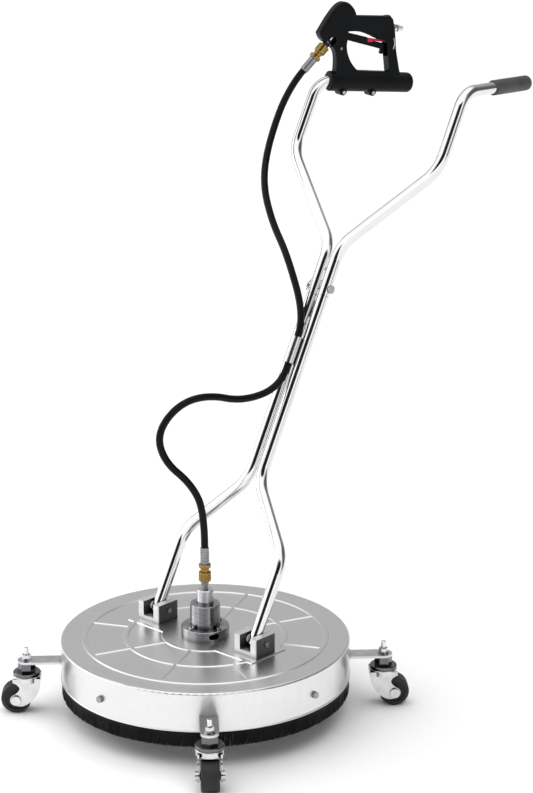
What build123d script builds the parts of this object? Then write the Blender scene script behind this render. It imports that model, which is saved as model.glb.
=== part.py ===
from build123d import *
import os
from math import cos, pi, radians, sin, tan

# Rotary surface cleaner: stainless drum on four swivel casters, leaning two-arm
# handle, trigger gun on the left arm, rubber grip on the right arm, and a hose
# from the gun down to the swivel on the drum.
# Millimetres.  +Z up, floor at z = 0, the handle leans back towards +Y.

# ---------------------------------------------------------------- drum
drum_y = -252.5            # drum axis, so that the whole machine is centred on the origin
drum_r = 305.0             # 24 in drum
deck_z = 162.0             # flat top of the deck above the floor
deck_t = 2.5               # sheet thickness
deck_edge_r = 4.0          # rolled edge between deck and wall
lip_z = 79.0               # bottom of the wall
lip_h = 4.0
lip_out = 1.5              # how far the rolled lip stands out
bead_w = 12.5              # flat-topped ribs pressed into the deck
bead_h = 2.0
bead_flank = 2.5
outer_bead_r = 254.5
inner_bead_r = 167.5
rib_w = 10.5
plateau_r = 93.0
plateau_h = 2.0
pad_x = (75.0, 181.0)      # raised pads under the handle brackets
pad_half_y = 52.0
wall_bolt_z = 116.0
band_t = 2.5               # inner band that carries the brush
brush_r = 304.0
brush_neck_r = 301.5       # where the brush slips into the foot of the wall
brush_t = 13.0
brush_bottom_z = 46.0

# ---------------------------------------------------------------- handle brackets and tubes
leg_x = 141.0              # bracket and leg centre line
pivot_z = 189.0
block = (62.0, 58.0, 41.0)
slot_w = 30.0
slot_depth = 31.0
pivot_d = 6.0              # M6 pivot bolt
tube_d = 25.4              # 1 in tube
tube_wall = 1.8
lean = 28.8                # degrees back from vertical
foot_w = -9.7              # distances along the leaning handle, from the pivot
knee_w = 176.0
crotch_w = 318.0
split_w = 739.0
pin_w = 757.0
upper_crotch_w = 855.0
upper_knee_w = 1051.0
upper_knee_x = 202.5
gun_corner_w = 1221.0
grip_corner_w = 1230.0
pair_x = 15.0              # half spacing of the two tubes where they run side by side
knee_r = 85.0
top_bend_r = 55.0
grip_start = 98.0          # along the right arm's end, from its corner
grip_end = 226.0
grip_d = 33.0
guide_w = (578.0, 637.0)   # hose guide sleeve on the front of the two tubes
guide_d = 24.0

# ---------------------------------------------------------------- trigger gun
gun_turn = 24.0            # the gun arm is turned inwards by this much
gun_dip = 3.7              # and dips this much towards its end
gun_half = 15.0            # half thickness of the gun body
cavity_half = 12.0         # half width of the room for the trigger between the shells
sleeve_d = 45.0
sleeve_a = (24.0, 233.0)
valve_b = 121.0            # height of the valve and of the inlet plug above the sleeve axis
valve_d = 18.0
plug_a = 184.0             # shoulder of the inlet plug at the back of the gun
trigger_pivot = (57.0, 102.0)
latch_pivot = (120.0, 90.0)

# ---------------------------------------------------------------- hose and its end fittings
hose_d = 15.5
ferrule_len = 36.0
coupler_len = 38.0
hose_top = (-38.5, 21.3)   # hose end at the gun, in the gun's own plane
outlet_rise = 49.4         # degrees, direction of the gun outlet in the gun's plane
hose_foot_z = 358.0        # hose end above the swivel

# ---------------------------------------------------------------- casters
stem_r = 378.0             # caster stems from the drum axis, on the diagonals
arm_top_z = 114.0
arm_t = 5.0
arm_w = 38.0
race_z = 87.0
wheel_r = 31.75            # 2.5 in wheel
wheel_w = 37.0
trail = 23.0

running = 0.06             # radial clearance of pins and bearings
os.makedirs("parts", exist_ok=True)


# ---------------------------------------------------------------- helpers
def save(name, solids):
    """Write one node, moved from the drum axis frame to the machine frame."""
    pieces = solids if isinstance(solids, list) else [solids]
    moved = [Pos(0, drum_y, 0) * solid for piece in pieces for solid in piece.solids()]
    export_step(Compound(children=moved) if len(moved) > 1 else moved[0], f"parts/{name}.step")


def disc(radius, z0, z1, at=(0, 0)):
    """Upright cylinder from z0 to z1."""
    return Pos(at[0], at[1], (z0 + z1) / 2) * Cylinder(radius, z1 - z0)


def ring(outer, inner, z0, z1, at=(0, 0)):
    return disc(outer, z0, z1, at) - disc(inner, z0 - 1, z1 + 1, at)


def hexagon(across, z0, z1, at=(0, 0)):
    return Pos(at[0], at[1], z0) * extrude(RegularPolygon(across / 2, 6, major_radius=False), z1 - z0)


def turned(angle, shape):
    return Rot(0, 0, angle) * shape


def on_handle(x, w, h=0.0):
    """Point on the leaning handle: x across, w up along it, h out of its front face."""
    return Vector(x, w * sin(radians(lean)) - h * cos(radians(lean)),
                  pivot_z + w * cos(radians(lean)) + h * sin(radians(lean)))


handle_up = Vector(0, sin(radians(lean)), cos(radians(lean)))
handle_front = Vector(0, -cos(radians(lean)), sin(radians(lean)))


def rod(start, end, radius):
    """Cylinder between two points."""
    direction = end - start
    return Plane(origin=start, z_dir=direction) * Pos(0, 0, direction.length / 2) * Cylinder(
        radius, direction.length)


def bent(points, radii, outer_r, inner_r=0.0):
    """Round bar or tube along straight runs joined by arcs."""
    path = FilletPolyline(*points, radius=radii)
    section = Circle(outer_r)
    if inner_r:
        section = section - Circle(inner_r)
    return sweep(Plane(origin=points[0], z_dir=points[1] - points[0]) * section, path=path)


def outline(points, radius=0.0):
    """Filled outline from corner points, corners rounded."""
    face = make_face(Polyline(*points, close=True))
    return fillet(face.vertices(), radius) if radius else face


# ================================================================ drum
shell = disc(drum_r, lip_z, deck_z)
shell = fillet(shell.edges().group_by(Axis.Z)[-1], deck_edge_r)
hollow = disc(drum_r - deck_t, lip_z - 1, deck_z - deck_t)
hollow = fillet(hollow.edges().group_by(Axis.Z)[-1], deck_edge_r - deck_t)
lip = ring(drum_r + lip_out, drum_r - deck_t, lip_z, lip_z + lip_h)
lip = fillet(lip.edges().filter_by(GeomType.CIRCLE).sort_by(SortBy.RADIUS)[-2:], lip_h / 2 - 0.1)
deck = shell - hollow + lip


def bead_ring(radius):
    """Round rib with a flat top and sloping flanks."""
    half = bead_w / 2
    top = half - bead_flank
    section = Polyline((radius - half, deck_z - 0.5), (radius - half, deck_z),
                       (radius - top, deck_z + bead_h), (radius + top, deck_z + bead_h),
                       (radius + half, deck_z), (radius + half, deck_z - 0.5), close=True)
    return revolve(Plane.XZ * make_face(section), Axis.Z)


def rib(angle, r0, r1):
    """Pressed radial rib between two radii."""
    bar = Box(r1 - r0, rib_w, bead_h + 0.5)
    bar = chamfer(bar.edges().group_by(Axis.Z)[-1], bead_h, bead_flank)
    return turned(angle, Pos((r0 + r1) / 2, 0, deck_z + (bead_h - 0.5) / 2) * bar)


pads = Pos(0, 0, deck_z) * extrude(
    Circle(plateau_r) + [Pos(side * sum(pad_x) / 2, 0) * Rectangle(pad_x[1] - pad_x[0], 2 * pad_half_y)
                         for side in (-1, 1)], plateau_h)
pads = chamfer(pads.edges().group_by(Axis.Z)[-1], plateau_h * 0.8)
deck += [bead_ring(outer_bead_r), bead_ring(inner_bead_r), pads]
deck += [rib(67.5 + 45 * k, plateau_r - 3, outer_bead_r) for k in (0, 1, 4, 5)]
deck += [rib(angle, inner_bead_r, outer_bead_r) for angle in (26, 154, 206, 334)]
swivel_hole_r = 30.0
flange_screw_r = 41.0
screw_angles = [-2 + 90 * k for k in range(4)]
deck -= disc(swivel_hole_r, deck_z - 20, deck_z + 20)
for angle in screw_angles:
    deck -= turned(angle, disc(3.0, deck_z - 20, deck_z + 20, (flange_screw_r, 0)))
wall_angles = (0, 90, 180, 270)
for angle in wall_angles:
    deck -= turned(angle, Pos(drum_r, 0, wall_bolt_z) * Rot(0, 90, 0) * Cylinder(4.2, 30))
save("drum_deck", deck)

# band inside the wall, its foot carries the brush
band_r = drum_r - deck_t
band = ring(band_r, band_r - band_t, lip_z + 4, wall_bolt_z + 14)
band += ring(band_r, brush_r - brush_t - 3, lip_z + 1, lip_z + 4)
for angle in wall_angles:
    band -= turned(angle, Pos(drum_r, 0, wall_bolt_z) * Rot(0, 90, 0) * Cylinder(4.2, 30))
save("brush_band", band)
skirt = ring(brush_r, brush_r - brush_t, brush_bottom_z, lip_z - 0.5)
skirt += ring(brush_neck_r, brush_r - brush_t, lip_z - 1, lip_z + 1)
save("brush_skirt", skirt)

wall_bolts = []
for angle in wall_angles:
    axis = Plane(origin=(drum_r, 0, wall_bolt_z), z_dir=(1, 0, 0))
    washer = Pos(0, 0, 0.75) * (Cylinder(7.4, 1.5) - Cylinder(4, 3))
    bolt = extrude(RegularPolygon(6.5, 6, major_radius=False), 5.5)
    bolt = chamfer(bolt.edges().group_by(Axis.Z)[-1], 0.8)
    bolt = Pos(0, 0, 1.5) * bolt + Pos(0, 0, -4) * Cylinder(4, 13)
    nut = Pos(0, 0, -deck_t - band_t - 6.5) * extrude(RegularPolygon(6.5, 6, major_radius=False), 6.4)
    nut -= Cylinder(4, 40)
    wall_bolts += [turned(angle, axis * piece) for piece in (washer, bolt, nut)]
save("wall_bolts", wall_bolts)

# ================================================================ handle brackets
block_z = deck_z + plateau_h
for side, name in ((-1, "bracket_left"), (1, "bracket_right")):
    body = Pos(side * leg_x, 0, block_z + block[2] / 2) * Box(*block)
    body = chamfer(body.edges().filter_by(Axis.Z), 1.2)
    body -= Pos(side * leg_x, 0, block_z + block[2]) * Box(slot_w, block[1] + 2, 2 * slot_depth)
    body -= rod(Vector(side * leg_x - 40, 0, pivot_z), Vector(side * leg_x + 40, 0, pivot_z), pivot_d / 2)
    save(name, body)

pivot_bolts = []
spacers = []
for side in (-1, 1):
    x_in = side * leg_x - block[0] / 2
    x_out = side * leg_x + block[0] / 2
    pivot = Plane(origin=(x_in, 0, pivot_z), z_dir=(1, 0, 0))
    head = Pos(0, 0, -4.0) * extrude(RegularPolygon(5.0, 6, major_radius=False), 4.0)
    pivot_bolts.append(pivot * (head + Pos(0, 0, block[0] / 2 + 3) * Cylinder(pivot_d / 2, block[0] + 6)))
    nut = Pos(0, 0, block[0]) * extrude(RegularPolygon(5.0, 6, major_radius=False), 5.0)
    pivot_bolts.append(pivot * (nut - Cylinder(pivot_d / 2, 400)))
    for face in (-1, 1):
        plane = Plane(origin=(side * leg_x + face * (slot_w / 2 - 1.0), 0, pivot_z), z_dir=(1, 0, 0))
        spacers.append(plane * (Cylinder(9, 2) - Cylinder(pivot_d / 2, 4)))
save("pivot_bolts", pivot_bolts)
save("pivot_spacers", spacers)

# ================================================================ swivel
flange_r = 50.5
flange_top = block_z + 22
body_r = 31.5
body_top = flange_top + 49
cap_r = 17.75
cap_top = body_top + 31
shaft_r = 10.0
flange = ring(flange_r, swivel_hole_r - 4, block_z, flange_top)
flange = chamfer(flange.edges().group_by(Axis.Z)[-1].sort_by(SortBy.RADIUS)[-1], 1.0)
flange += ring(swivel_hole_r - 0.5, shaft_r + 3, block_z - 14, block_z + 4)
weep_slot = extrude(SlotOverall(22, 12), 40)
flange -= turned(-25, Plane(origin=(24, 0, block_z + 11.5), x_dir=(0, 1, 0), z_dir=(1, 0, 0)) * weep_slot)
for angle in screw_angles:
    flange -= turned(angle, disc(3.0, block_z - 1, flange_top + 1, (flange_screw_r, 0)))
save("swivel_flange", flange)

flange_screws = []
for angle in screw_angles:
    at = (flange_screw_r, 0)
    screw = disc(5, flange_top, flange_top + 5, at) - hexagon(5, flange_top + 2.4, flange_top + 6, at)
    screw += disc(3.0, block_z - 12, flange_top, at)
    flange_screws.append(turned(angle, screw))
save("flange_screws", flange_screws)

housing = disc(body_r, flange_top, body_top)
housing = chamfer(housing.edges().group_by(Axis.Z)[-1], 1.0)
housing -= disc(21, flange_top - 1, body_top - 8)
housing -= disc(12, flange_top - 1, body_top + 1)
save("swivel_housing", housing)

bearing_z = (flange_top + 3, flange_top + 24)
save("swivel_bearings", [ring(20.95, shaft_r + running, z, z + 14) for z in bearing_z])

cap = disc(cap_r, body_top, cap_top)
cap = chamfer(cap.edges().group_by(Axis.Z)[-1], 1.5)
cap -= ring(cap_r + 1, cap_r - 1.5, body_top + 3.0, body_top + 5.5)
for side in (-1, 1):
    cap -= turned(-47.8, Pos(0, side * (cap_r + 2.5), body_top + 18) * Box(24, 9, 13))
cap -= disc(6.0, cap_top - 14, cap_top + 1)
cap -= disc(4.0, body_top - 1, cap_top)
save("inlet_cap", cap)

# turning shaft and spray bar under the deck
hub_z = (88.0, 116.0)
shaft = disc(shaft_r, hub_z[0] - 8, body_top - 9) - disc(3, hub_z[0] + 8, body_top)
save("rotor_shaft", shaft)
bar_z = 101.0
bar_r = 7.0
bar_end = 246.0
hub = ring(23, shaft_r, *hub_z)
hub = chamfer(hub.edges().group_by(Axis.Z)[-1].sort_by(SortBy.RADIUS)[-1], 2.0)
spray_arms = []
nozzles = []
for angle in (40, 220):
    hub -= turned(angle, Pos(25, 0, bar_z) * Rot(0, 90, 0) * Cylinder(bar_r, 16))
    arm = Pos((bar_end + 17) / 2, 0, bar_z) * Rot(0, 90, 0) * Cylinder(bar_r, bar_end - 17)
    arm += disc(11, bar_z - 14, bar_z + 10, (bar_end, 0))
    arm -= disc(6, bar_z - 15, bar_z - 6, (bar_end, 0))
    spray_arms.append(turned(angle, arm))
    nozzle = disc(6, bar_z - 15, bar_z - 6, (bar_end, 0))
    nozzle += hexagon(14, bar_z - 23, bar_z - 15, (bar_end, 0))
    nozzle = nozzle - disc(1.2, bar_z - 24, bar_z - 10, (bar_end, 0))
    nozzles.append(turned(angle, nozzle))
save("rotor_hub", hub)
save("spray_arms", spray_arms)
save("spray_nozzles", nozzles)

# ================================================================ handle tubes
tube_r = tube_d / 2
leg_runs = [on_handle(leg_x, foot_w), on_handle(leg_x, knee_w), on_handle(pair_x, crotch_w),
            on_handle(pair_x, split_w)]


def gun_point(a, b, n=0.0):
    """Point in the gun's plane: a along the sleeve, b above it, n towards its near face."""
    return gun_corner + gun_along * a + gun_above * b + gun_normal * n


gun_corner = on_handle(-upper_knee_x, gun_corner_w)
gun_along = Vector(sin(radians(gun_turn)) * cos(radians(gun_dip)),
                   cos(radians(gun_turn)) * cos(radians(gun_dip)), -sin(radians(gun_dip)))
gun_above = Vector(sin(radians(gun_turn)) * sin(radians(gun_dip)),
                   cos(radians(gun_turn)) * sin(radians(gun_dip)), cos(radians(gun_dip)))
gun_normal = gun_along.cross(gun_above)
gun_plane = Plane(origin=gun_corner, x_dir=gun_along, z_dir=gun_normal)

grip_corner = on_handle(upper_knee_x, grip_corner_w)
arm_runs = [on_handle(pair_x, split_w + 0.8), on_handle(pair_x, upper_crotch_w),
            on_handle(upper_knee_x, upper_knee_w)]
gun_arm_runs = [Vector(-p.X, p.Y, p.Z) for p in arm_runs] + [gun_corner, gun_point(150, 0)]
grip_arm_runs = arm_runs + [grip_corner, grip_corner + Vector(0, grip_end - 4, 0)]
pin_hole = rod(on_handle(-60, pin_w), on_handle(60, pin_w), 4.1)
spigot_r = tube_r - tube_wall - 0.1

for side, name in ((-1, "leg_left"), (1, "leg_right")):
    runs = [Vector(side * p.X, p.Y, p.Z) for p in leg_runs]
    leg = bent(runs, [knee_r, knee_r], tube_r, tube_r - tube_wall)
    leg -= rod(Vector(side * leg_x - 40, 0, pivot_z), Vector(side * leg_x + 40, 0, pivot_z),
               pivot_d / 2 + running)
    save(name, leg)
save("arm_left", bent(gun_arm_runs, [knee_r, knee_r, top_bend_r], tube_r, tube_r - tube_wall) - pin_hole)
save("arm_right", bent(grip_arm_runs, [knee_r, knee_r, top_bend_r], tube_r, tube_r - tube_wall) - pin_hole)

# solid spigots join the two tube sections, the clevis pin locks them
spigots = [rod(on_handle(side * pair_x, split_w - 60), on_handle(side * pair_x, split_w + 40), spigot_r)
           - rod(on_handle(-60, pin_w), on_handle(60, pin_w), 4.1) for side in (-1, 1)]
save("tube_spigots", spigots)

# small webs weld each pair of tubes together
webs = []
for w0, w1 in ((crotch_w + 30, crotch_w + 70), (split_w - 50, split_w - 12),
               (split_w + 34, split_w + 64), (upper_crotch_w - 60, upper_crotch_w - 30)):
    web = Plane(origin=on_handle(0, w0), x_dir=(1, 0, 0), z_dir=handle_up) * Pos(0, 0, (w1 - w0) / 2) * Box(
        2 * pair_x - 12, 8, w1 - w0)
    for side in (-1, 1):
        web -= rod(on_handle(side * pair_x, w0 - 5), on_handle(side * pair_x, w1 + 5), tube_r)
    webs.append(web.solids().sort_by(SortBy.VOLUME)[-1])
save("weld_webs", webs)

pin_left = -35.0
pin_right = pair_x + tube_r
clevis = rod(on_handle(pin_left, pin_w), on_handle(pin_right + 1, pin_w), 4.0)
clevis += rod(on_handle(pin_right + 0.2, pin_w), on_handle(pin_right + 5, pin_w), 9.0)
clip_hole_x = pin_left + 4
clip_up = Vector(0, sin(radians(59)), cos(radians(59)))
clip_side = Vector(0, -cos(radians(59)), sin(radians(59)))
clip_mid = on_handle(clip_hole_x, pin_w)
clip_r = 1.1
clevis -= rod(clip_mid - clip_up * 10, clip_mid + clip_up * 10, clip_r + 0.1)
save("clevis_pin", clevis)

# R shaped wire clip: straight leg through the pin, second leg hugging it
leg_gap = 6.6
clip_steps = [(-13, 0), (20, 0), (26, 4.0), (19, 8.6), (9, leg_gap), (0, 8.1), (-9, 4.6)]
clip_runs = [clip_mid + clip_up * along + clip_side * out for along, out in clip_steps]
save("r_clip", bent(clip_runs, 2.4, clip_r))

# hose guide sleeve lies in the valley on the front of the two tubes
guide_gap = tube_r + guide_d / 2
guide_h = (guide_gap ** 2 - pair_x ** 2) ** 0.5 + 0.1
guide_low = on_handle(0, guide_w[0], guide_h)
guide_high = on_handle(0, guide_w[1], guide_h)
guide = rod(guide_low, guide_high, guide_d / 2)
guide_bore = rod(guide_low - handle_up, guide_high + handle_up, guide_d / 2 - 2)
seat_plane = Plane(origin=on_handle(0, guide_w[0] + 8, guide_h - 11), x_dir=(1, 0, 0), z_dir=handle_up)
seat = seat_plane * Pos(0, 0, 20) * Box(17, 12, 40)
guide = guide + seat - guide_bore
for side in (-1, 1):
    guide -= rod(on_handle(side * pair_x, guide_w[0] - 9), on_handle(side * pair_x, guide_w[1] + 9), tube_r)
save("hose_guide", guide.solids().sort_by(SortBy.VOLUME)[-1])

grip_axis = Plane(origin=grip_corner, z_dir=(0, 1, 0))
grip = Pos(0, 0, (grip_start + grip_end) / 2) * Cylinder(grip_d / 2, grip_end - grip_start)
grip = fillet(grip.edges().group_by(Axis.Z)[-1], 9)
grip = fillet(grip.edges().group_by(Axis.Z)[0], 3)
grip -= disc(tube_r, grip_start, grip_end - 4)
save("rubber_grip", grip_axis * grip)

# ================================================================ hose end fittings
# Each is drawn along +Z from the hose end (0) towards the machine.
ferrule_r = 9.3
ferrule = Cylinder(ferrule_r, ferrule_len, align=(Align.CENTER, Align.CENTER, Align.MIN))
ferrule = chamfer(ferrule.edges().group_by(Axis.Z)[0], 1.2)
for z in (8, 14, 20, 26):
    ferrule -= ring(ferrule_r + 1, ferrule_r - 0.5, z, z + 2)

collar_end = ferrule_len + 8.5
neck_end = ferrule_len + 17.5
sleeve_end = ferrule_len + coupler_len
barrel_r = 9.8
coupler = disc(12.8, ferrule_len, collar_end)
coupler = chamfer(coupler.edges().filter_by(GeomType.CIRCLE), 1.2)
coupler += disc(9.0, collar_end, neck_end) + disc(barrel_r, neck_end - 1, sleeve_end)
coupler -= disc(7.0, ferrule_len + 20, sleeve_end + 1)

sliding_sleeve = ring(13.0, barrel_r + running, neck_end, sleeve_end - 0.4)
sliding_sleeve = chamfer(sliding_sleeve.edges().filter_by(GeomType.CIRCLE).sort_by(SortBy.RADIUS)[-2:], 1.0)
for z in (neck_end + 5, neck_end + 9, neck_end + 13):
    sliding_sleeve -= ring(14, 12.3, z, z + 1.6)

nipple_end = sleeve_end + 20
nipple = disc(6.95, ferrule_len + 22, sleeve_end + 2) + hexagon(14, sleeve_end + 1.5, sleeve_end + 10)
nipple += disc(6.0, sleeve_end + 10, nipple_end + 12)
nipple -= disc(3, ferrule_len + 21, nipple_end + 13)

down = Plane(origin=(0, 0, hose_foot_z), x_dir=(1, 0, 0), z_dir=(0, 0, -1))
out_a = cos(radians(outlet_rise))
out_b = sin(radians(outlet_rise))
outlet_dir = gun_along * out_a + gun_above * out_b
hose_start = gun_point(*hose_top)
up = Plane(origin=hose_start, x_dir=gun_normal, z_dir=outlet_dir)
for plane, name in ((down, "lower"), (up, "upper")):
    save(f"ferrule_{name}", plane * ferrule)
    save(f"coupler_body_{name}", plane * coupler)
    save(f"coupler_sleeve_{name}", plane * sliding_sleeve)
save("inlet_nipple", down * nipple)
save("outlet_nipple", up * (nipple + hexagon(18, sleeve_end + 9, sleeve_end + 16) - disc(3, 0, nipple_end + 13)))

# ================================================================ hose
guide_mid = on_handle(0, sum(guide_w) / 2, guide_h)
upper_route = [hose_start, hose_start - outlet_dir * 56, Vector(-223, 444, 1133), Vector(-193, 392, 1054),
               Vector(-141, 364, 979), Vector(-77, 344, 917), guide_mid + handle_up * 78, guide_mid]
lower_route = [guide_mid, guide_mid - handle_up * 84, Vector(-20, 142, 641), Vector(-40, 54, 670),
               Vector(-56, -18, 660), Vector(-70, -66, 606), Vector(-52, -62, 548), Vector(-14, -24, 500),
               Vector(0, 0, 438), Vector(0, 0, hose_foot_z)]


def hose(name, points):
    """Hose along its route, every bend as wide as its two runs allow."""
    radii = []
    for a, b, c in zip(points, points[1:], points[2:]):
        half_turn = (b - a).get_angle(c - b) / 2
        radii.append(0.45 * min((b - a).length, (c - b).length) / tan(radians(half_turn)))
    body = bent(points, radii, hose_d / 2)
    length = FilletPolyline(*points, radius=radii).length
    print(name, "bend radii", [round(r) for r in radii], "length", round(length),
          "volume ratio", round(body.volume / (length * pi * hose_d ** 2 / 4), 4))
    return body


save("hose_upper", hose("hose_upper", upper_route))
save("hose_lower", hose("hose_lower", lower_route))

# ================================================================ trigger gun
# Drawn in the gun's plane: first number along the sleeve, second above it.
front_edge = Spline((35, 8), (37, 44), (28, 72), (6, 86), (-10, 107))
head_edge = Spline((-10, 107), (16, 150), (51, 176), (71, 163), (79, 147))
back_edge = Polyline((79, 147), (155, 148), (163, 150), (172, 141), (178, 120), (185, 72),
                     (195, 34), (203, 8), (35, 8))
frame_face = make_face([front_edge, head_edge, back_edge])
loop_front = Spline((60, 92), (60, 72), (70, 47), (91, 25))
loop_back = Polyline((91, 25), (170, 24), (163, 62), (158, 90))
loop_top = Spline((158, 90), (139, 97), (108, 108), (78, 112), (61, 111))
loop_face = make_face([loop_front, loop_back, loop_top, Line((61, 111), (60, 92))])
cavity_face = outline([(48, 92), (48, 110), (74, 111.5), (168, 108), (172, 58), (100, 58)])
sleeve_mid = sum(sleeve_a) / 2
sleeve_cyl = Pos(sleeve_mid, 0, 0) * Rot(0, 90, 0) * Cylinder(sleeve_d / 2, sleeve_a[1] - sleeve_a[0])
valve_bore = Pos(114, valve_b, 0) * Rot(0, 90, 0) * Cylinder(valve_d / 2, 150)
outlet = Plane(origin=(hose_top[0], hose_top[1], 0), x_dir=(0, 0, 1), z_dir=(out_a, out_b, 0))
outlet_bore = outlet * disc(8.0, 60, 134)
outlet_cup = outlet * disc(13.6, 50, sleeve_end + 17)
pin_half = gun_half - 2.0     # the trigger pin is hidden under the shells
pin_bore = Pos(*trigger_pivot, 0) * Cylinder(2.5, 2 * pin_half)
frame = extrude(frame_face, gun_half, both=True)
frame = fillet(frame.edges().filter_by(Plane.XY), 6.5)
frame -= extrude(loop_face, gun_half + 5, both=True)
flat_faces = frame.faces().filter_by(Plane.XY).sort_by(Axis.Z)
loop_rims = [edge for face in (flat_faces[0], flat_faces[-1]) for edge in face.inner_wires()[0].edges()]
frame = fillet(loop_rims, 3.0)
frame -= extrude(cavity_face, cavity_half, both=True)
plug_seat = Pos(plug_a - 4, valve_b, 0) * Box(8, 19.8, 19.8)
clip_a = 174.0
clip_b = (76, 99)
clip_holes = [Pos(clip_a, b, gun_half) * Cylinder(0.9, 6) for b in clip_b]
# open notch in the near face where the outlet fitting screws in
notch_t = 76.0
notch_at = Pos(hose_top[0] + notch_t * out_a, hose_top[1] + notch_t * out_b, 3)
notch = notch_at * Rot(0, 0, outlet_rise) * extrude(SlotCenterToCenter(30, 21), gun_half)
frame -= [sleeve_cyl, valve_bore, outlet_bore, outlet_cup, notch, pin_bore, plug_seat, *clip_holes]
# one shell screw shows its head on the near face, the others on the far face
shell_screws = [(46, 73, 1), (14, 118, -1), (50, 155, -1), (148, 138, -1), (178, 52, -1)]
screw_tip = 8.5
for a, b, side in shell_screws:
    frame -= Pos(a, b, side * (gun_half - screw_tip) / 2) * Cylinder(2.0, gun_half + screw_tip)
    frame -= Pos(a, b, side * (gun_half - 2)) * Cylinder(3.6, 6)
near_half = frame & Pos(100, 80, 30) * Box(400, 300, 60)
far_half = frame & Pos(100, 80, -30) * Box(400, 300, 60)
save("gun_shell_near", gun_plane * near_half)
save("gun_shell_far", gun_plane * far_half)
screws = []
for a, b, side in shell_screws:
    head = Pos(a, b, side * (gun_half - 3.5)) * Cylinder(3.4, 3)
    screws.append(gun_plane * (head + Pos(a, b, side * (gun_half - screw_tip - 1) / 2) * Cylinder(
        1.9, gun_half + screw_tip - 3)))
save("gun_shell_screws", screws)

sleeve = fillet(sleeve_cyl.edges().sort_by(Axis.X)[-1], 12)
sleeve = fillet(sleeve.edges().sort_by(Axis.X)[0], 3)
clamp_a = (57.5, 131.0)
for a in clamp_a:
    sleeve += Pos(a, -22, 0) * Cylinder(9.0, 26)
    sleeve += Pos(a, -16, 0) * Box(18, 12, 26)
sleeve -= [Pos(a, -24, 0) * Cylinder(3.0, 40) for a in clamp_a]
gun_sleeve = gun_plane * sleeve
gun_sleeve -= bent(gun_arm_runs[2:], top_bend_r, tube_r)
save("gun_sleeve", gun_sleeve.solids().sort_by(SortBy.VOLUME)[-1])
clamp_screw = disc(2.9, -13.5, 13.5) + disc(4.2, 13, 19) + disc(4.2, -18, -13)
save("clamp_screws", [gun_plane * Pos(a, -24, 0) * clamp_screw for a in clamp_a])

valve = Pos(114, valve_b, 0) * Rot(0, 90, 0) * Cylinder(valve_d / 2 - 0.1, 2 * (plug_a - 6 - 114))
valve_boss = outlet * disc(7.9, 107, 133)
save("valve_body", gun_plane * (valve + valve_boss))

# quick-connect plug for the supply hose, at the back of the gun
plug = disc(5.4, 0, 4) + disc(7.8, 4, 10) + disc(5.9, 10, 17)
plug = hexagon(17, -6, 0) + plug - disc(3.2, -7, 18)
plug_plane = Plane(origin=(plug_a, valve_b, 0), x_dir=(0, 0, 1), z_dir=(1, 0, 0))
save("inlet_plug", gun_plane * plug_plane * plug)

trigger_face = outline([(50, 97), (50, 107), (62, 109), (110, 100), (112, 94.5), (134, 91), (155, 87),
                        (157, 68), (153, 62), (147, 64), (149, 74), (66, 91)], 1.5)
trigger = extrude(trigger_face, 7, both=True)
latch_zone = Pos(135, 82, 0) * Box(47, 60, 40)
trigger = trigger - latch_zone + extrude(trigger_face, 3, both=True)
trigger -= Pos(*trigger_pivot, 0) * Cylinder(2.5 + running, 40)
trigger -= Pos(*latch_pivot, 0) * Cylinder(1.5 + running, 40)
save("trigger", gun_plane * trigger)
save("trigger_pin", gun_plane * Pos(*trigger_pivot, 0) * Cylinder(2.5, 2 * pin_half - 0.4))
latch_face = outline([(113, 89), (113, 98.5), (140, 95.5), (161, 92), (161, 89), (130, 91.5),
                      (121, 88.5)], 1.0)
web_room = outline([(100, 60), (100, 98), (113, 96.7), (160, 90.8), (180, 88), (180, 60)])
latch = extrude(latch_face, 6.3, both=True) - extrude(web_room, 3.4, both=True)
latch += Pos(*latch_pivot, 0) * Cylinder(1.5, 12.6)
save("safety_latch", gun_plane * latch)

wire_clip = bent([Vector(clip_a, clip_b[1] + 0.9, gun_half + 1), Vector(clip_a + 3, 86, gun_half + 1),
                  Vector(clip_a, clip_b[0] - 0.9, gun_half + 1)], 4, 0.9)
wire_clip += [Pos(clip_a, b, gun_half - 0.4) * Cylinder(0.9, 3.6) for b in clip_b]
save("wire_clip", gun_plane * wire_clip)

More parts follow.
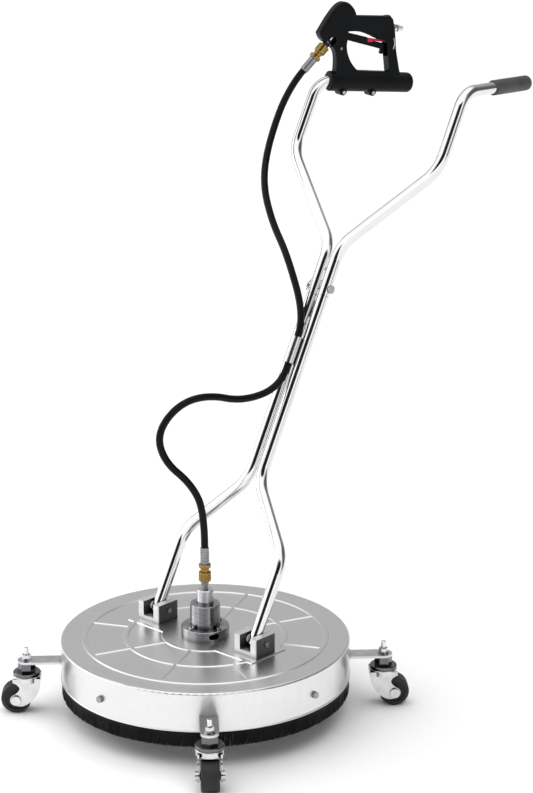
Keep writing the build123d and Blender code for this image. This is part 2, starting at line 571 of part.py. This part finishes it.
# ================================================================ casters
diagonals = {"front_right": -45, "back_right": 45, "back_left": 135, "front_left": -135}
arm_start = drum_r - 12
arm_mid = Pos((arm_start + stem_r) / 2, 0, arm_top_z - arm_t / 2)
bare_arm = arm_mid * Box(stem_r - arm_start, arm_w, arm_t)
bare_arm += disc(arm_w / 2, arm_top_z - arm_t, arm_top_z, (stem_r, 0))
bare_arm -= disc(5, 0, 200, (stem_r, 0))
stud_r = 3.0
screw_radii = (327, 340)
for r in screw_radii:
    bare_arm -= disc(stud_r, arm_top_z - 9, arm_top_z - 1, (r, 0))
arms = []
arm_screws = []
stems = []
nuts = []
for angle in diagonals.values():
    arms.append(turned(angle, bare_arm) - disc(drum_r, 0, 200))
    for r in screw_radii:
        screw = disc(stud_r, arm_top_z - arm_t, arm_top_z - 1, (r, 0))
        screw += disc(4.5, arm_top_z - arm_t - 3, arm_top_z - arm_t, (r, 0))
        arm_screws.append(turned(angle, screw))
    stem = disc(5, race_z, 141, (stem_r, 0)) + hexagon(32, race_z + 2, arm_top_z - arm_t, (stem_r, 0))
    race = disc(29, race_z - 4, race_z + 2, (stem_r, 0))
    race = chamfer(race.edges().group_by(Axis.Z)[-1], 1.5)
    race += disc(11, race_z - 12, race_z - 3, (stem_r, 0))
    stems.append(turned(angle, chamfer((stem + race).edges().group_by(Axis.Z)[-1], 1.2)))
    washer = ring(11.5, 5, arm_top_z, arm_top_z + 2.5, (stem_r, 0))
    nut = hexagon(17, arm_top_z + 2.5, arm_top_z + 12, (stem_r, 0)) - disc(5, 100, 150, (stem_r, 0))
    nuts += [turned(angle, washer), turned(angle, nut)]
save("caster_arms", arms)
save("arm_screws", arm_screws)
save("caster_stems", stems)
save("stem_nuts", nuts)

crown_top = race_z - 5
crown_bottom = 68.0
fork_in = wheel_w / 2 + 2.5
fork_t = 3.5
axle_r = 5.0
lobe_r = 12.5
lobe_low = (trail, wheel_r - lobe_r)
lobe_high = (trail + 7, wheel_r + 10.4)
plate_top = crown_top - 3
side_face = make_face([
    Line((-29, plate_top), (-29, 64)),
    Spline((-29, 64), (-22, 44), (-4, 24), (12, 17.5), lobe_low),
    ThreePointArc(lobe_low, (trail + lobe_r, wheel_r), lobe_high),
    Spline(lobe_high, (19, 50), (15, 58), (20, 66), (29, 71)),
    Polyline((29, 71), (29, plate_top), (-29, plate_top))])
crown = disc(29.5, crown_bottom + 2, crown_top) - disc(11.3, 0, 100)
crown -= disc(26.5, crown_bottom - 1, crown_top - 4)
crown = fillet(crown.edges().group_by(Axis.Z)[-1].sort_by(SortBy.RADIUS)[-1], 2.5)
side_plates = []
for side in (-1, 1):
    plate_plane = Plane(origin=(0, side * (fork_in + fork_t / 2), 0), x_dir=(1, 0, 0), z_dir=(0, -1, 0))
    side_plates.append(plate_plane * extrude(side_face, fork_t / 2, both=True))
fork = crown + side_plates
fork += Pos(trail, 0, wheel_r) * Rot(90, 0, 0) * Cylinder(axle_r, 2 * (fork_in + fork_t))
for side in (-1, 1):
    button = Pos(trail, side * (fork_in + fork_t + 2.4), wheel_r) * Rot(90, 0, 0) * Cylinder(10, 5)
    fork += button
fork = fork - disc(11.3, crown_bottom - 1, 100)

wheel = Cylinder(wheel_r, wheel_w)
wheel = fillet(wheel.edges(), 4.0)
recess = Pos(0, 0, wheel_w / 2) * (Cylinder(23, 7) - Cylinder(11, 7))
wheel = wheel - recess - Rot(180, 0, 0) * recess - Cylinder(axle_r + running, 100)
hub_face = Cylinder(9, 2) - Cylinder(axle_r + running, 5)
wheel += [Pos(0, 0, side * (wheel_w / 2 + 0.8)) * hub_face for side in (-1, 1)]
for name, angle in diagonals.items():
    place = Rot(0, 0, angle) * Pos(stem_r, 0, 0)
    save(f"fork_{name}", place * fork)
    save(f"wheel_{name}", place * Pos(trail, 0, wheel_r) * Rot(90, 0, 0) * wheel)
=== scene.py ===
import math
import random

import bpy
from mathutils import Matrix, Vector


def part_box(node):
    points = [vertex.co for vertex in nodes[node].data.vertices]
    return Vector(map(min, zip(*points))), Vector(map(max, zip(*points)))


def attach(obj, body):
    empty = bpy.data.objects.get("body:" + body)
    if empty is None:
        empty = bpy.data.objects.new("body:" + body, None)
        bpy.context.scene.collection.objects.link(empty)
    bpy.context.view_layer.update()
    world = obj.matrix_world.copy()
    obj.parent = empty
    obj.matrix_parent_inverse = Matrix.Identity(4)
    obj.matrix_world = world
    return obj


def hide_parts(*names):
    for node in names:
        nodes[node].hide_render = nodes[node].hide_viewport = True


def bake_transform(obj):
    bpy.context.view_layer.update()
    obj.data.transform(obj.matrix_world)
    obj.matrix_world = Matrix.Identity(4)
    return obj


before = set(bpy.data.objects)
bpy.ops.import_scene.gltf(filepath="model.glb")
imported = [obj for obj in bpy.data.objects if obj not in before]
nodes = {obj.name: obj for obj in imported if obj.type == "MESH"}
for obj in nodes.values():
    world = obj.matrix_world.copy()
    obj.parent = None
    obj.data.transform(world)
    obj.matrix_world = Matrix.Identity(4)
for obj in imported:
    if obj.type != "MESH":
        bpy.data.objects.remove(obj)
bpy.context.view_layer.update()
scene = bpy.context.scene

# Places read from the CAD frame, metres.
drum_low, drum_high = (Vector(corner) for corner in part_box("drum_deck"))
skirt_low, skirt_high = (Vector(corner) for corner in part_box("brush_skirt"))
stem_low, stem_high = (Vector(corner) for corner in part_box("caster_stems"))
arm_low, arm_high = (Vector(corner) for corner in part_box("caster_arms"))
drum_x = (drum_low.x + drum_high.x) / 2
drum_y = (drum_low.y + drum_high.y) / 2
drum_axis = Vector((drum_x, drum_y, 0))
skirt_r = (skirt_high.x - skirt_low.x) / 2


# ---------------------------------------------------------------- camera
# Three-quarter view from the front right, from a little above the handle and looking down at the drum.
view_turn = math.radians(42.19)
view_dip = math.radians(15.59)
camera_aside = 0.129       # metres to the right of the drum's axis, back from it and above the floor
camera_back = 4.040
camera_height = 1.812
film_height = 24.0         # mm
focal_length = 62.1        # mm

right = Vector((math.cos(view_turn), math.sin(view_turn), 0))
away = Vector((-math.sin(view_turn), math.cos(view_turn), 0))
look = away * math.cos(view_dip) - Vector((0, 0, math.sin(view_dip)))
camera_data = bpy.data.cameras.new("camera")
camera_data.sensor_fit = "VERTICAL"
camera_data.sensor_height = film_height
camera_data.lens = focal_length
camera = bpy.data.objects.new("camera", camera_data)
camera.location = drum_axis + right * camera_aside - away * camera_back + Vector((0, 0, camera_height))
camera.rotation_mode = "QUATERNION"
camera.rotation_quaternion = look.to_track_quat("-Z", "Y")
scene.collection.objects.link(camera)
scene.camera = camera


# ---------------------------------------------------------------- shader nodes
def add(tree, kind, **settings):
    """New node with these settings."""
    node = tree.nodes.new(kind)
    for key, value in settings.items():
        setattr(node, key, value)
    return node


def feed(tree, kind, *sources, **settings):
    """New node fed by the given outputs or constants, in socket order; its first output."""
    node = add(tree, kind, **settings)
    for socket, source in zip(node.inputs, sources):
        if isinstance(source, bpy.types.NodeSocket):
            tree.links.new(source, socket)
        elif source is not None:
            socket.default_value = source
    return node.outputs[0]


# ---------------------------------------------------------------- light
# A white tent, with the dark room showing on the right and grey at the back: the chrome, the deck and the
# brackets mirror these.
panorama = [  # turn from the back of the set through left, camera and right, 0..1, and brightness
    (0.0, 0.52), (0.1, 0.54), (0.17, 1.1), (0.25, 1.25), (0.36, 1.25), (0.6, 1.2), (0.64, 1.0), (0.67, 0.3),
    (0.71, 0.12), (0.8, 0.12), (0.88, 0.42), (1.0, 0.52)]
blue_share = 1.01                   # blue against red and green in the panorama
overhead = 1.25                     # brightness of the roof
roof_edge = (0.7, 0.88)             # sines of the heights between which the wall fades into the roof
opening_turn = 0.478                # middle of the dark opening, as panorama place and as sine of its height
opening_rise = 0.51
opening_wide = 0.12                 # and its half sizes
opening_high = 0.22
opening_edge = (0.7, 1.3)           # squared radii between which it fades out
opening_dark = 0.012                # light left in its middle
sun_strength = 1.0
sun_spread = math.radians(100)
sun_tilt = (math.radians(8), math.radians(-14), 0)
panel_place = Vector((-3.0, -1.6, 1.6))
panel_target = Vector((0, 0, 0.6))
panel_size = (1.6, 2.4)
panel_watts = 14

scene.view_settings.view_transform = "Standard"
world = bpy.data.worlds.new("studio")
scene.world = world
world.use_nodes = True
sky = world.node_tree
sky.nodes.clear()

direction = add(sky, "ShaderNodeTexCoord").outputs["Generated"]
facing = feed(sky, "ShaderNodeMapping", direction, None, (0, 0, -view_turn))
axes = add(sky, "ShaderNodeSeparateXYZ")
sky.links.new(facing, axes.inputs[0])
toward_camera = feed(sky, "ShaderNodeMath", axes.outputs["Y"], -1.0, operation="MULTIPLY")
turn = feed(sky, "ShaderNodeMath", axes.outputs["X"], toward_camera, operation="ARCTAN2")
around = feed(sky, "ShaderNodeMapRange", turn, -math.pi, math.pi, 0.0, 1.0)

wall = add(sky, "ShaderNodeValToRGB")
sky.links.new(around, wall.inputs[0])
stops = wall.color_ramp.elements
for place, brightness in panorama[1:-1]:
    stops.new(place)
for stop, (place, brightness) in zip(stops, panorama):
    stop.position = place
    stop.color = (brightness, brightness, brightness * blue_share, 1)
height = feed(sky, "ShaderNodeMapRange", axes.outputs["Z"], *roof_edge, 0.0, 1.0,
              interpolation_type="SMOOTHSTEP")
tent = add(sky, "ShaderNodeMix", data_type="RGBA")
sky.links.new(height, tent.inputs["Factor"])
sky.links.new(wall.outputs["Color"], tent.inputs["A"])
tent.inputs["B"].default_value = (overhead, overhead, overhead, 1)

# Dark oval opening above the camera: the black line down every tube.
opening_x = feed(sky, "ShaderNodeMapRange", around, opening_turn, opening_turn + opening_wide, 0.0, 1.0,
                 clamp=False)
opening_y = feed(sky, "ShaderNodeMapRange", axes.outputs["Z"], opening_rise, opening_rise + opening_high,
                 0.0, 1.0, clamp=False)
square_x = feed(sky, "ShaderNodeMath", opening_x, 2.0, operation="POWER")
square_y = feed(sky, "ShaderNodeMath", opening_y, 2.0, operation="POWER")
spread = feed(sky, "ShaderNodeMath", square_x, square_y, operation="ADD")
opened = feed(sky, "ShaderNodeMapRange", spread, *opening_edge, opening_dark, 1.0,
              interpolation_type="SMOOTHSTEP")
sky_light = feed(sky, "ShaderNodeBackground", tent.outputs["Result"], opened)
sky.links.new(sky_light, add(sky, "ShaderNodeOutputWorld").inputs["Surface"])

# Soft light from above; it is kept out of the reflections, where it would wash out the metals.
ceiling = bpy.data.objects.new("ceiling", bpy.data.lights.new("ceiling", "SUN"))
ceiling.data.energy = sun_strength
ceiling.data.angle = sun_spread
ceiling.rotation_euler = sun_tilt
ceiling.visible_glossy = False
scene.collection.objects.link(ceiling)

panel = bpy.data.objects.new("left", bpy.data.lights.new("left", "AREA"))
panel.data.shape = "RECTANGLE"
panel.data.size, panel.data.size_y = panel_size
panel.data.energy = panel_watts
panel.location = panel_place
panel.rotation_mode = "QUATERNION"
panel.rotation_quaternion = (panel_target - panel_place).to_track_quat("-Z", "Y")
scene.collection.objects.link(panel)


# ---------------------------------------------------------------- materials
grain_height = 0.0002          # metres of relief at full strength
# painted shade in gaps and inner corners:
corner_shade_kept = (0.04, 1.0)     # share of the colour kept in a closed corner and in the open
corner_shade_reach = (0.25, 0.8)     # openness at which these are reached


def material(name, color, metallic=0.0, roughness=0.5):
    mat = bpy.data.materials.new(name)
    mat.use_nodes = True
    shader = mat.node_tree.nodes["Principled BSDF"]
    shader.inputs["Base Color"].default_value = (*color, 1)
    shader.inputs["Metallic"].default_value = metallic
    shader.inputs["Roughness"].default_value = roughness
    return mat, mat.node_tree, shader


def ramp(tree, source, low, high, from_low=0.3, from_high=0.7):
    """Maps the source's from_low..from_high onto low..high; the default suits noise."""
    node = add(tree, "ShaderNodeMapRange")
    node.inputs["From Min"].default_value = from_low
    node.inputs["From Max"].default_value = from_high
    node.inputs["To Min"].default_value = low
    node.inputs["To Max"].default_value = high
    tree.links.new(source, node.inputs["Value"])
    return node.outputs["Result"]


def noise(tree, scale, stretch=(1, 1, 1), detail=4.0):
    """Noise in object space; stretch squeezes it along an axis."""
    coords = add(tree, "ShaderNodeTexCoord")
    mapping = add(tree, "ShaderNodeMapping")
    mapping.inputs["Scale"].default_value = stretch
    tree.links.new(coords.outputs["Object"], mapping.inputs["Vector"])
    node = add(tree, "ShaderNodeTexNoise")
    node.inputs["Scale"].default_value = scale
    node.inputs["Detail"].default_value = detail
    tree.links.new(mapping.outputs["Vector"], node.inputs["Vector"])
    return node.outputs["Fac"]


def rough(tree, shader, source, low, high):
    """Roughness varies between two values."""
    tree.links.new(ramp(tree, source, low, high), shader.inputs["Roughness"])


def tint(tree, shader, source, dark, light):
    """Base colour varies between two colours."""
    mix = add(tree, "ShaderNodeMix", data_type="RGBA")
    mix.inputs["A"].default_value = (*dark, 1)
    mix.inputs["B"].default_value = (*light, 1)
    tree.links.new(source, mix.inputs["Factor"])
    tree.links.new(mix.outputs["Result"], shader.inputs["Base Color"])


def darken(tree, shader, source):
    """Multiplies the base colour that the shader has so far by the source."""
    color = shader.inputs["Base Color"].links[0].from_socket
    mix = add(tree, "ShaderNodeMix", data_type="RGBA", blend_type="MULTIPLY")
    mix.inputs["Factor"].default_value = 1.0
    tree.links.new(color, mix.inputs["A"])
    tree.links.new(source, mix.inputs["B"])
    tree.links.new(mix.outputs["Result"], shader.inputs["Base Color"])


def shade_corners(tree, shader, depth):
    """Painted shade: darkens the colour in gaps and inner corners, where close parts shade it and darken its
    reflections.
    """
    near = add(tree, "ShaderNodeAmbientOcclusion", samples=8)
    near.inputs["Distance"].default_value = depth
    darken(tree, shader, ramp(tree, near.outputs["AO"], *corner_shade_kept, *corner_shade_reach))


def bump(tree, shader, source, strength, distance):
    node = add(tree, "ShaderNodeBump")
    node.inputs["Strength"].default_value = strength
    node.inputs["Distance"].default_value = distance
    tree.links.new(source, node.inputs["Height"])
    tree.links.new(node.outputs["Normal"], shader.inputs["Normal"])


def metal(name, dark, light, roughness, grain=(1, 1, 1), scale=60.0, relief=0.05, corners=0.0):
    """Metal with streaked or cloudy roughness and colour, with painted shade in its corners."""
    mat, tree, shader = material(name, light, 1.0, roughness[0])
    cloud = noise(tree, scale, grain)
    tint(tree, shader, ramp(tree, cloud, 0, 1), dark, light)
    if corners:
        shade_corners(tree, shader, corners)
    rough(tree, shader, cloud, *roughness)
    bump(tree, shader, noise(tree, scale * 8, grain, 2.0), relief, grain_height)
    return mat


def plastic(name, dark, light, roughness, relief=0.3, shine=0.4):
    """Moulded plastic or rubber with a fine grain."""
    mat, tree, shader = material(name, light, 0.0, roughness[0])
    shader.inputs["Specular IOR Level"].default_value = shine
    tint(tree, shader, ramp(tree, noise(tree, 25.0), 0, 1), dark, light)
    rough(tree, shader, noise(tree, 40.0), *roughness)
    bump(tree, shader, noise(tree, 900.0, detail=2.0), relief, grain_height)
    return mat


def sawn_bar():
    """Bar stock, bright where it is milled or sawn; painted shade darkens the two sides that face along X."""
    mat, tree, shader = material("milled_block", (0.8, 0.8, 0.8), 1.0, 0.5)
    parts = add(tree, "ShaderNodeSeparateXYZ")
    tree.links.new(add(tree, "ShaderNodeTexCoord").outputs["Normal"], parts.inputs[0])
    # painted shade on the two sides that face along X, chosen by the face normal
    sideways = feed(tree, "ShaderNodeMath", parts.outputs["X"], operation="ABSOLUTE")
    shaded_side = ramp(tree, sideways, 0, 1, 0.6, 0.9)
    tint(tree, shader, shaded_side, (0.86, 0.86, 0.86), (0.16, 0.16, 0.165))
    darken(tree, shader, ramp(tree, noise(tree, 60.0, (1, 12, 1)), 0.9, 1.0))
    rough(tree, shader, noise(tree, 90.0), 0.45, 0.55)
    shade_corners(tree, shader, 0.02)
    return mat


def stem_material():
    """Caster stem: the threaded end above the arm is bright; the hexagon and race plate below it carry
    painted shade from the arm.
    """
    mat, tree, shader = material("stem_steel", (0.8, 0.8, 0.8), 1.0, 0.15)
    edge = 0.02            # half of the fade, as a share of the stem's height
    arm_top = (arm_high.z - stem_low.z) / (stem_high.z - stem_low.z)
    parts = add(tree, "ShaderNodeSeparateXYZ")
    tree.links.new(add(tree, "ShaderNodeTexCoord").outputs["Generated"], parts.inputs[0])
    # painted shade: dark below the arm's top, steel colour above it
    unshaded_above_arm = ramp(tree, parts.outputs["Z"], 0, 1, arm_top - edge, arm_top + edge)
    tint(tree, shader, unshaded_above_arm, (0.16, 0.16, 0.165), (0.8, 0.8, 0.81))
    shade_corners(tree, shader, 0.01)
    rough(tree, shader, noise(tree, 60.0), 0.12, 0.2)
    return mat


def deck_material():
    """Rolled stainless sheet with long faint streaks, the same on deck and wall."""
    mat, tree, shader = material("brushed_deck", (0.8, 0.8, 0.8), 1.0, 0.2)
    streaks = noise(tree, 30.0, (0.15, 3.0, 1.0), 6.0)
    tint(tree, shader, ramp(tree, streaks, 0, 1), (0.785, 0.785, 0.79), (0.815, 0.815, 0.82))
    rough(tree, shader, noise(tree, 9.0), 0.27, 0.32)
    bump(tree, shader, streaks, 0.003, 0.0005)
    return mat


turned_grain = (1, 1, 14)
chrome = metal("polished_tube", (0.78, 0.78, 0.785), (0.82, 0.82, 0.825), (0.08, 0.1), scale=12.0, relief=0.0)
zinc = metal("bright_zinc", (0.62, 0.62, 0.63), (0.76, 0.76, 0.77), (0.1, 0.2), scale=50.0, relief=0.02,
             corners=0.03)
turned = metal("turned_steel", (0.6, 0.6, 0.61), (0.72, 0.72, 0.73), (0.14, 0.22), turned_grain, 40.0,
               relief=0.02, corners=0.01)
steel = metal("swivel_steel", (0.3, 0.3, 0.31), (0.46, 0.46, 0.47), (0.16, 0.26), turned_grain, 40.0,
              relief=0.02, corners=0.02)
bolt_steel = metal("bolt_steel", (0.6, 0.6, 0.62), (0.8, 0.8, 0.81), (0.12, 0.22), scale=150.0,
                   relief=0.02, corners=0.008)
dark_steel = metal("dark_steel", (0.16, 0.16, 0.17), (0.3, 0.3, 0.31), (0.25, 0.4), scale=150.0)
brass = metal("brass", (0.2, 0.12, 0.03), (0.44, 0.29, 0.085), (0.16, 0.28), (1, 1, 6), 150.0,
              corners=0.008)
ferrule = metal("crimped_steel", (0.2, 0.2, 0.21), (0.34, 0.34, 0.35), (0.2, 0.3), relief=0.03,
                corners=0.006)
gun_black = plastic("gun_plastic", (0.002, 0.0025, 0.003), (0.004, 0.005, 0.006), (0.36, 0.46), shine=0.12)
red = plastic("latch_plastic", (0.42, 0.006, 0.02), (0.6, 0.015, 0.04), (0.3, 0.4))
grip_rubber = plastic("grip_rubber", (0.05, 0.05, 0.052), (0.075, 0.075, 0.078), (0.5, 0.62), relief=0.5)
hose_rubber = plastic("hose_rubber", (0.002, 0.002, 0.002), (0.004, 0.004, 0.004), (0.3, 0.4), shine=0.14)
bristle = plastic("bristle", (0.002, 0.002, 0.002), (0.01, 0.01, 0.01), (0.45, 0.6), shine=0.1)
tyre = plastic("tyre_rubber", (0.016, 0.016, 0.017), (0.024, 0.024, 0.025), (0.5, 0.65), shine=0.3)
nylon = plastic("nylon", (0.7, 0.69, 0.65), (0.8, 0.79, 0.75), (0.4, 0.5))
deck_finish = deck_material()
milled = sawn_bar()
stem_steel = stem_material()

finishes = {
    deck_finish: ["drum_deck"],
    chrome: ["leg_left", "leg_right", "arm_left", "arm_right"],
    zinc: ["fork_front_right", "fork_back_right", "fork_back_left", "fork_front_left"],
    steel: ["swivel_flange", "swivel_housing", "wall_bolts", "clevis_pin", "r_clip", "clamp_screws"],
    turned: ["hose_guide", "inlet_cap", "rotor_shaft", "rotor_hub", "spray_arms", "swivel_bearings",
             "brush_band", "caster_arms", "valve_body", "tube_spigots", "weld_webs"],
    milled: ["bracket_left", "bracket_right"],
    bolt_steel: ["stem_nuts", "pivot_bolts", "flange_screws", "arm_screws", "wire_clip", "inlet_plug",
                 "outlet_nipple"],
    dark_steel: ["inlet_nipple", "gun_shell_screws", "trigger_pin"],
    stem_steel: ["caster_stems"],
    brass: ["spray_nozzles", "coupler_body_lower", "coupler_sleeve_lower", "coupler_body_upper",
            "coupler_sleeve_upper"],
    ferrule: ["ferrule_lower", "ferrule_upper"],
    gun_black: ["gun_shell_near", "gun_shell_far", "gun_sleeve", "trigger"],
    red: ["safety_latch"],
    grip_rubber: ["rubber_grip"],
    hose_rubber: ["hose_upper", "hose_lower"],
    tyre: ["wheel_front_right", "wheel_back_right", "wheel_back_left", "wheel_front_left", "brush_skirt"],
    nylon: ["pivot_spacers"],
}
for finish, names in finishes.items():
    for name in names:
        slots = nodes[name].material_slots
        if not slots:
            nodes[name].data.materials.append(finish)
        for material_slot in slots:
            material_slot.material = finish


# ---------------------------------------------------------------- hose
hose_d = 0.0155
hose_route = [  # control points from the upper ferrule to the lower one
    (-0.218, 0.302, 1.283), (-0.233, 0.266, 1.243), (-0.223, 0.192, 1.133), (-0.193, 0.140, 1.054),
    (-0.141, 0.112, 0.979), (-0.077, 0.091, 0.917), (0.000, 0.060, 0.799), (0.000, 0.023, 0.731),
    (0.000, -0.018, 0.657), (-0.020, -0.111, 0.641), (-0.040, -0.199, 0.670), (-0.056, -0.271, 0.660),
    (-0.070, -0.319, 0.606), (-0.052, -0.315, 0.548), (-0.014, -0.277, 0.500), (0.000, -0.2525, 0.438),
    (0.000, -0.2525, 0.358)]


def smooth_line(points, steps=16):
    """Points along the NURBS curve with these control points."""
    curve = bpy.data.curves.new("route", "CURVE")
    curve.dimensions = "3D"
    curve.resolution_u = steps
    spline = curve.splines.new("NURBS")
    spline.points.add(len(points) - 1)
    for point, place in zip(spline.points, points):
        point.co = (*place, 1)
    spline.order_u = 3
    spline.use_endpoint_u = True
    holder = bpy.data.objects.new("route", curve)
    mesh = bpy.data.meshes.new_from_object(holder)
    line = [vertex.co.copy() for vertex in mesh.vertices]
    bpy.data.objects.remove(holder)
    bpy.data.meshes.remove(mesh)
    return line


def new_object(name, verts, faces, finish, smooth=True):
    mesh = bpy.data.meshes.new(name)
    mesh.from_pydata([tuple(v) for v in verts], [], faces)
    mesh.validate()
    if smooth:
        mesh.shade_smooth()
    mesh.materials.append(finish)
    obj = bpy.data.objects.new(name, mesh)
    scene.collection.objects.link(obj)
    return obj


def tube_along(name, line, radius, finish, sides=24):
    """Closed tube whose rings stay square to the line."""
    verts, faces = [], []
    last = len(line) - 1
    side = Vector((1, 0, 0))
    for i, place in enumerate(line):
        along = (line[min(i + 1, last)] - line[max(i - 1, 0)]).normalized()
        side = (side - along * side.dot(along)).normalized()
        other = along.cross(side)
        for k in range(sides):
            angle = 2 * math.pi * k / sides
            verts.append(place + radius * (side * math.cos(angle) + other * math.sin(angle)))
    for i in range(last):
        for k in range(sides):
            a = i * sides + k
            b = i * sides + (k + 1) % sides
            faces.append((a, b, b + sides, a + sides))
    faces.append(tuple(reversed(range(sides))))
    faces.append(tuple(range(last * sides, (last + 1) * sides)))
    return new_object(name, verts, faces, finish)


hose_line = smooth_line(hose_route)
hose = tube_along("whip_hose", hose_line, hose_d / 2, hose_rubber)
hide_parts("hose_upper", "hose_lower")
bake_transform(hose)


# ---------------------------------------------------------------- brush
strip_sides = 180
strip_gap = 0.0006         # metres, between the deck's lower edge and the strip's outer lip
strip_foot = 0.007         # the strip's lower edge, under the deck's
neck_step = 0.003          # the strip's neck inside the deck, in from its outer face
strip_thick = 0.012
tuft_rows = 3
tufts_per_row = 900
tuft_inset = 0.0012        # outer row, in from the strip's outer face
row_pitch = 0.004
tuft_root = 0.001          # how far the tufts reach up into the strip
tuft_depth = 0.0008        # half, along the radius


def strip(verts, faces):
    """Ring of plastic that holds the bristles: a neck inside the deck's wall and a wider foot under it."""
    neck = skirt_r - neck_step
    back = skirt_r - strip_thick
    top = drum_low.z - strip_gap
    bottom = drum_low.z - strip_foot
    profile = [(back, skirt_high.z), (neck, skirt_high.z), (neck, top), (skirt_r, top), (skirt_r, bottom),
               (back, bottom)]
    count = len(profile)
    for i in range(strip_sides):
        angle = 2 * math.pi * i / strip_sides
        for radius, z in profile:
            verts.append((drum_x + radius * math.cos(angle), drum_y + radius * math.sin(angle), z))
    for i in range(strip_sides):
        here = i * count
        beyond = (i + 1) % strip_sides * count
        for k in range(count):
            n = (k + 1) % count
            faces.append((here + k, here + n, beyond + n, beyond + k))


def tuft(verts, faces, angle, radius, dice):
    """Square tuft of bristles, slightly off upright, closed at both ends."""
    out = Vector((math.cos(angle), math.sin(angle), 0))
    side = Vector((-out.y, out.x, 0))
    top = drum_axis + out * radius + Vector((0, 0, drum_low.z - strip_foot + tuft_root))
    splay = dice.uniform(-0.0008, 0.001)
    sway = dice.uniform(-0.0008, 0.0008)
    low = drum_axis + out * (radius + splay) + side * sway
    low.z = skirt_low.z + dice.uniform(0, 0.0012)
    half = dice.uniform(0.0006, 0.0010)
    first = len(verts)
    for middle in (top, low):
        for across, deep in ((-1, -1), (1, -1), (1, 1), (-1, 1)):
            verts.append(middle + side * across * half + out * deep * tuft_depth)
    for k in range(4):
        n = (k + 1) % 4
        faces.append((first + k, first + n, first + 4 + n, first + 4 + k))
    faces.append((first + 4, first + 5, first + 6, first + 7))
    faces.append((first + 3, first + 2, first + 1, first))


def brush():
    """Strip of plastic holding rows of thin bristle tufts."""
    verts, faces = [], []
    strip(verts, faces)
    dice = random.Random(4)
    for row in range(tuft_rows):
        for i in range(tufts_per_row):
            angle = 2 * math.pi * (i + row / tuft_rows + dice.uniform(-0.2, 0.2)) / tufts_per_row
            tuft(verts, faces, angle, skirt_r - tuft_inset - row * row_pitch, dice)
    return new_object("brush", verts, faces, bristle, smooth=False)


skirt = brush()
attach(skirt, "chassis")
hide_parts("brush_skirt")


# ---------------------------------------------------------------- floor
floor_half = 40            # metres


def floor():
    mat, tree, shader = material("floor_white", (0.93, 0.93, 0.93), 0.0, 0.8)
    tint(tree, shader, ramp(tree, noise(tree, 0.6), 0, 1), (0.92, 0.92, 0.92), (0.95, 0.95, 0.95))
    corners = [(x * floor_half, y * floor_half, 0) for x, y in ((-1, -1), (1, -1), (1, 1), (-1, 1))]
    return new_object("floor", corners, [(0, 1, 2, 3)], mat, smooth=False)


floor()
